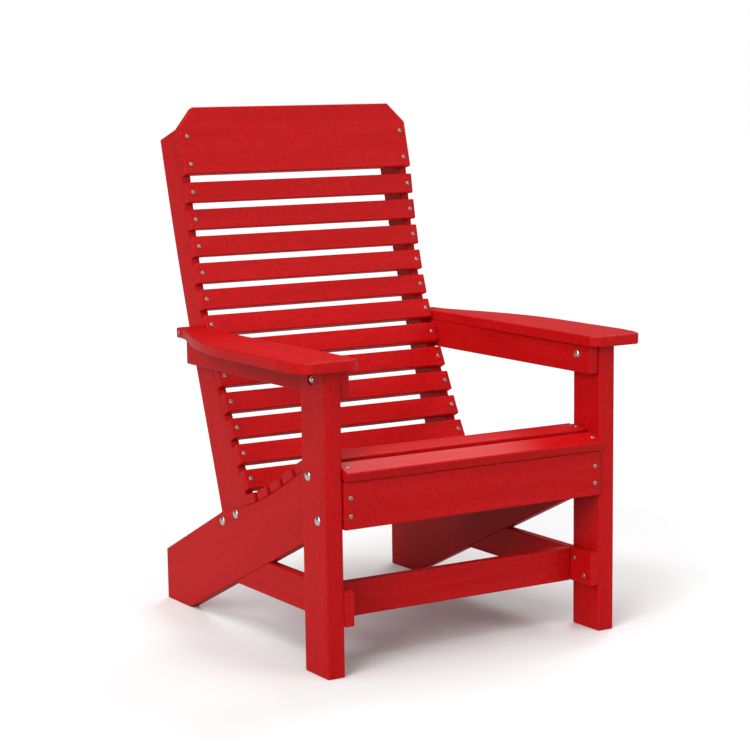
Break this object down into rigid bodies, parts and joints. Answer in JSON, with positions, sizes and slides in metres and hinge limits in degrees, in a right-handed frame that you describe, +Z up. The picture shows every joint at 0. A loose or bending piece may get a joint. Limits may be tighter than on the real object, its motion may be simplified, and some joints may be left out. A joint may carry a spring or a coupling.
{
  "type": "adirondack chair",
  "caption": "Adirondack chair of red plastic boards with a contoured slatted seat, a tall curved slatted back, a clipped headboard and broad paddle arms.",
  "frame": {"origin": "middle of the chair's box, on the ground", "axes": "+Z up, the sitter faces -Y, +X is the sitter's left"},
  "size_m": [0.818, 0.82, 1.0809],
  "materials": {
    "lumber": "satin moulded board with a fine pebbled grain",
    "screw_steel": "stainless pan-head screws",
    "bolt_steel": "stainless carriage bolts, washers and nuts"
  },
  "bodies": {
    "root": {"apron_screws": "screw_steel", "arm_bolts": "bolt_steel", "arm_end_screws": "screw_steel", "arm_left": "lumber", "arm_rail_left": "lumber", "arm_rail_right": "lumber", "arm_right": "lumber", "arm_screws": "screw_steel", "back_post_left": "lumber", "back_post_right": "lumber", "back_slat_01": "lumber", "back_slat_02": "lumber", "back_slat_03": "lumber", "back_slat_04": "lumber", "back_slat_05": "lumber", "back_slat_06": "lumber", "back_slat_07": "lumber", "back_slat_08": "lumber", "back_slat_09": "lumber", "back_slat_10": "lumber", "back_slat_11": "lumber", "back_slat_12": "lumber", "back_slat_screws": "screw_steel", "bolt_nuts": "bolt_steel", "bolt_washers": "bolt_steel", "front_apron": "lumber", "front_leg_left": "lumber", "front_leg_right": "lumber", "front_stretcher": "lumber", "front_stretcher_screws": "screw_steel", "headboard": "lumber", "headboard_screws": "screw_steel", "leg_bolts": "bolt_steel", "mitre_screws": "screw_steel", "post_screws": "screw_steel", "rail_bolts": "bolt_steel", "seat_slat_01": "lumber", "seat_slat_02": "lumber", "seat_slat_03": "lumber", "seat_slat_04": "lumber", "seat_slat_05": "lumber", "seat_slat_06": "lumber", "seat_slat_07": "lumber", "seat_slat_08": "lumber", "seat_slat_screws": "screw_steel", "side_rail_left": "lumber", "side_rail_right": "lumber", "side_stretcher_left": "lumber", "side_stretcher_right": "lumber", "side_stretcher_screws": "screw_steel"}
  },
  "joints": []
}
